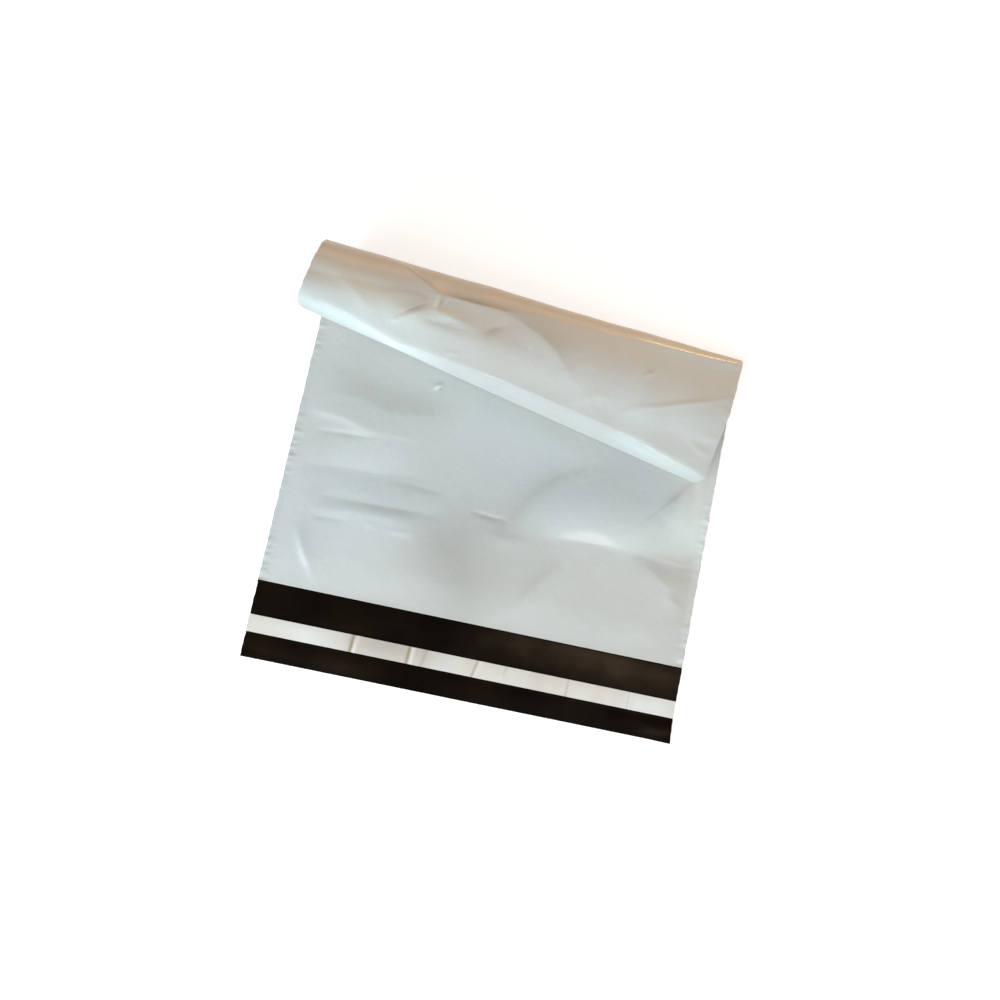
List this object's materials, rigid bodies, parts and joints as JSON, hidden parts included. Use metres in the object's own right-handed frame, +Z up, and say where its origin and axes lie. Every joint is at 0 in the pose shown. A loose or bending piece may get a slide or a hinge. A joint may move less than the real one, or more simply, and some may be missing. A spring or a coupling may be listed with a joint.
{
  "type": "poly mailer bag",
  "caption": "Plastic-film mailing bag, pale outside and black inside, lying flat with a gummed flap under a release liner and its closed end rolled up and over.",
  "frame": {"origin": "on the table, under the middle of the rolled bag's plan box", "axes": "+X across the bag to the tight end of the roll, +Y from the flap to the rolled closed end, +Z up from the table"},
  "size_m": [0.257, 0.2386, 0.0656],
  "materials": {
    "film": "semi-gloss co-extruded film, pale grey-white outside and black inside",
    "adhesive": "clear tacky hot-melt",
    "liner": "satin silicone-coated release film"
  },
  "bodies": {
    "root": {"mailer_film": "film", "adhesive_strip": "adhesive", "release_liner": "liner"}
  },
  "joints": []
}
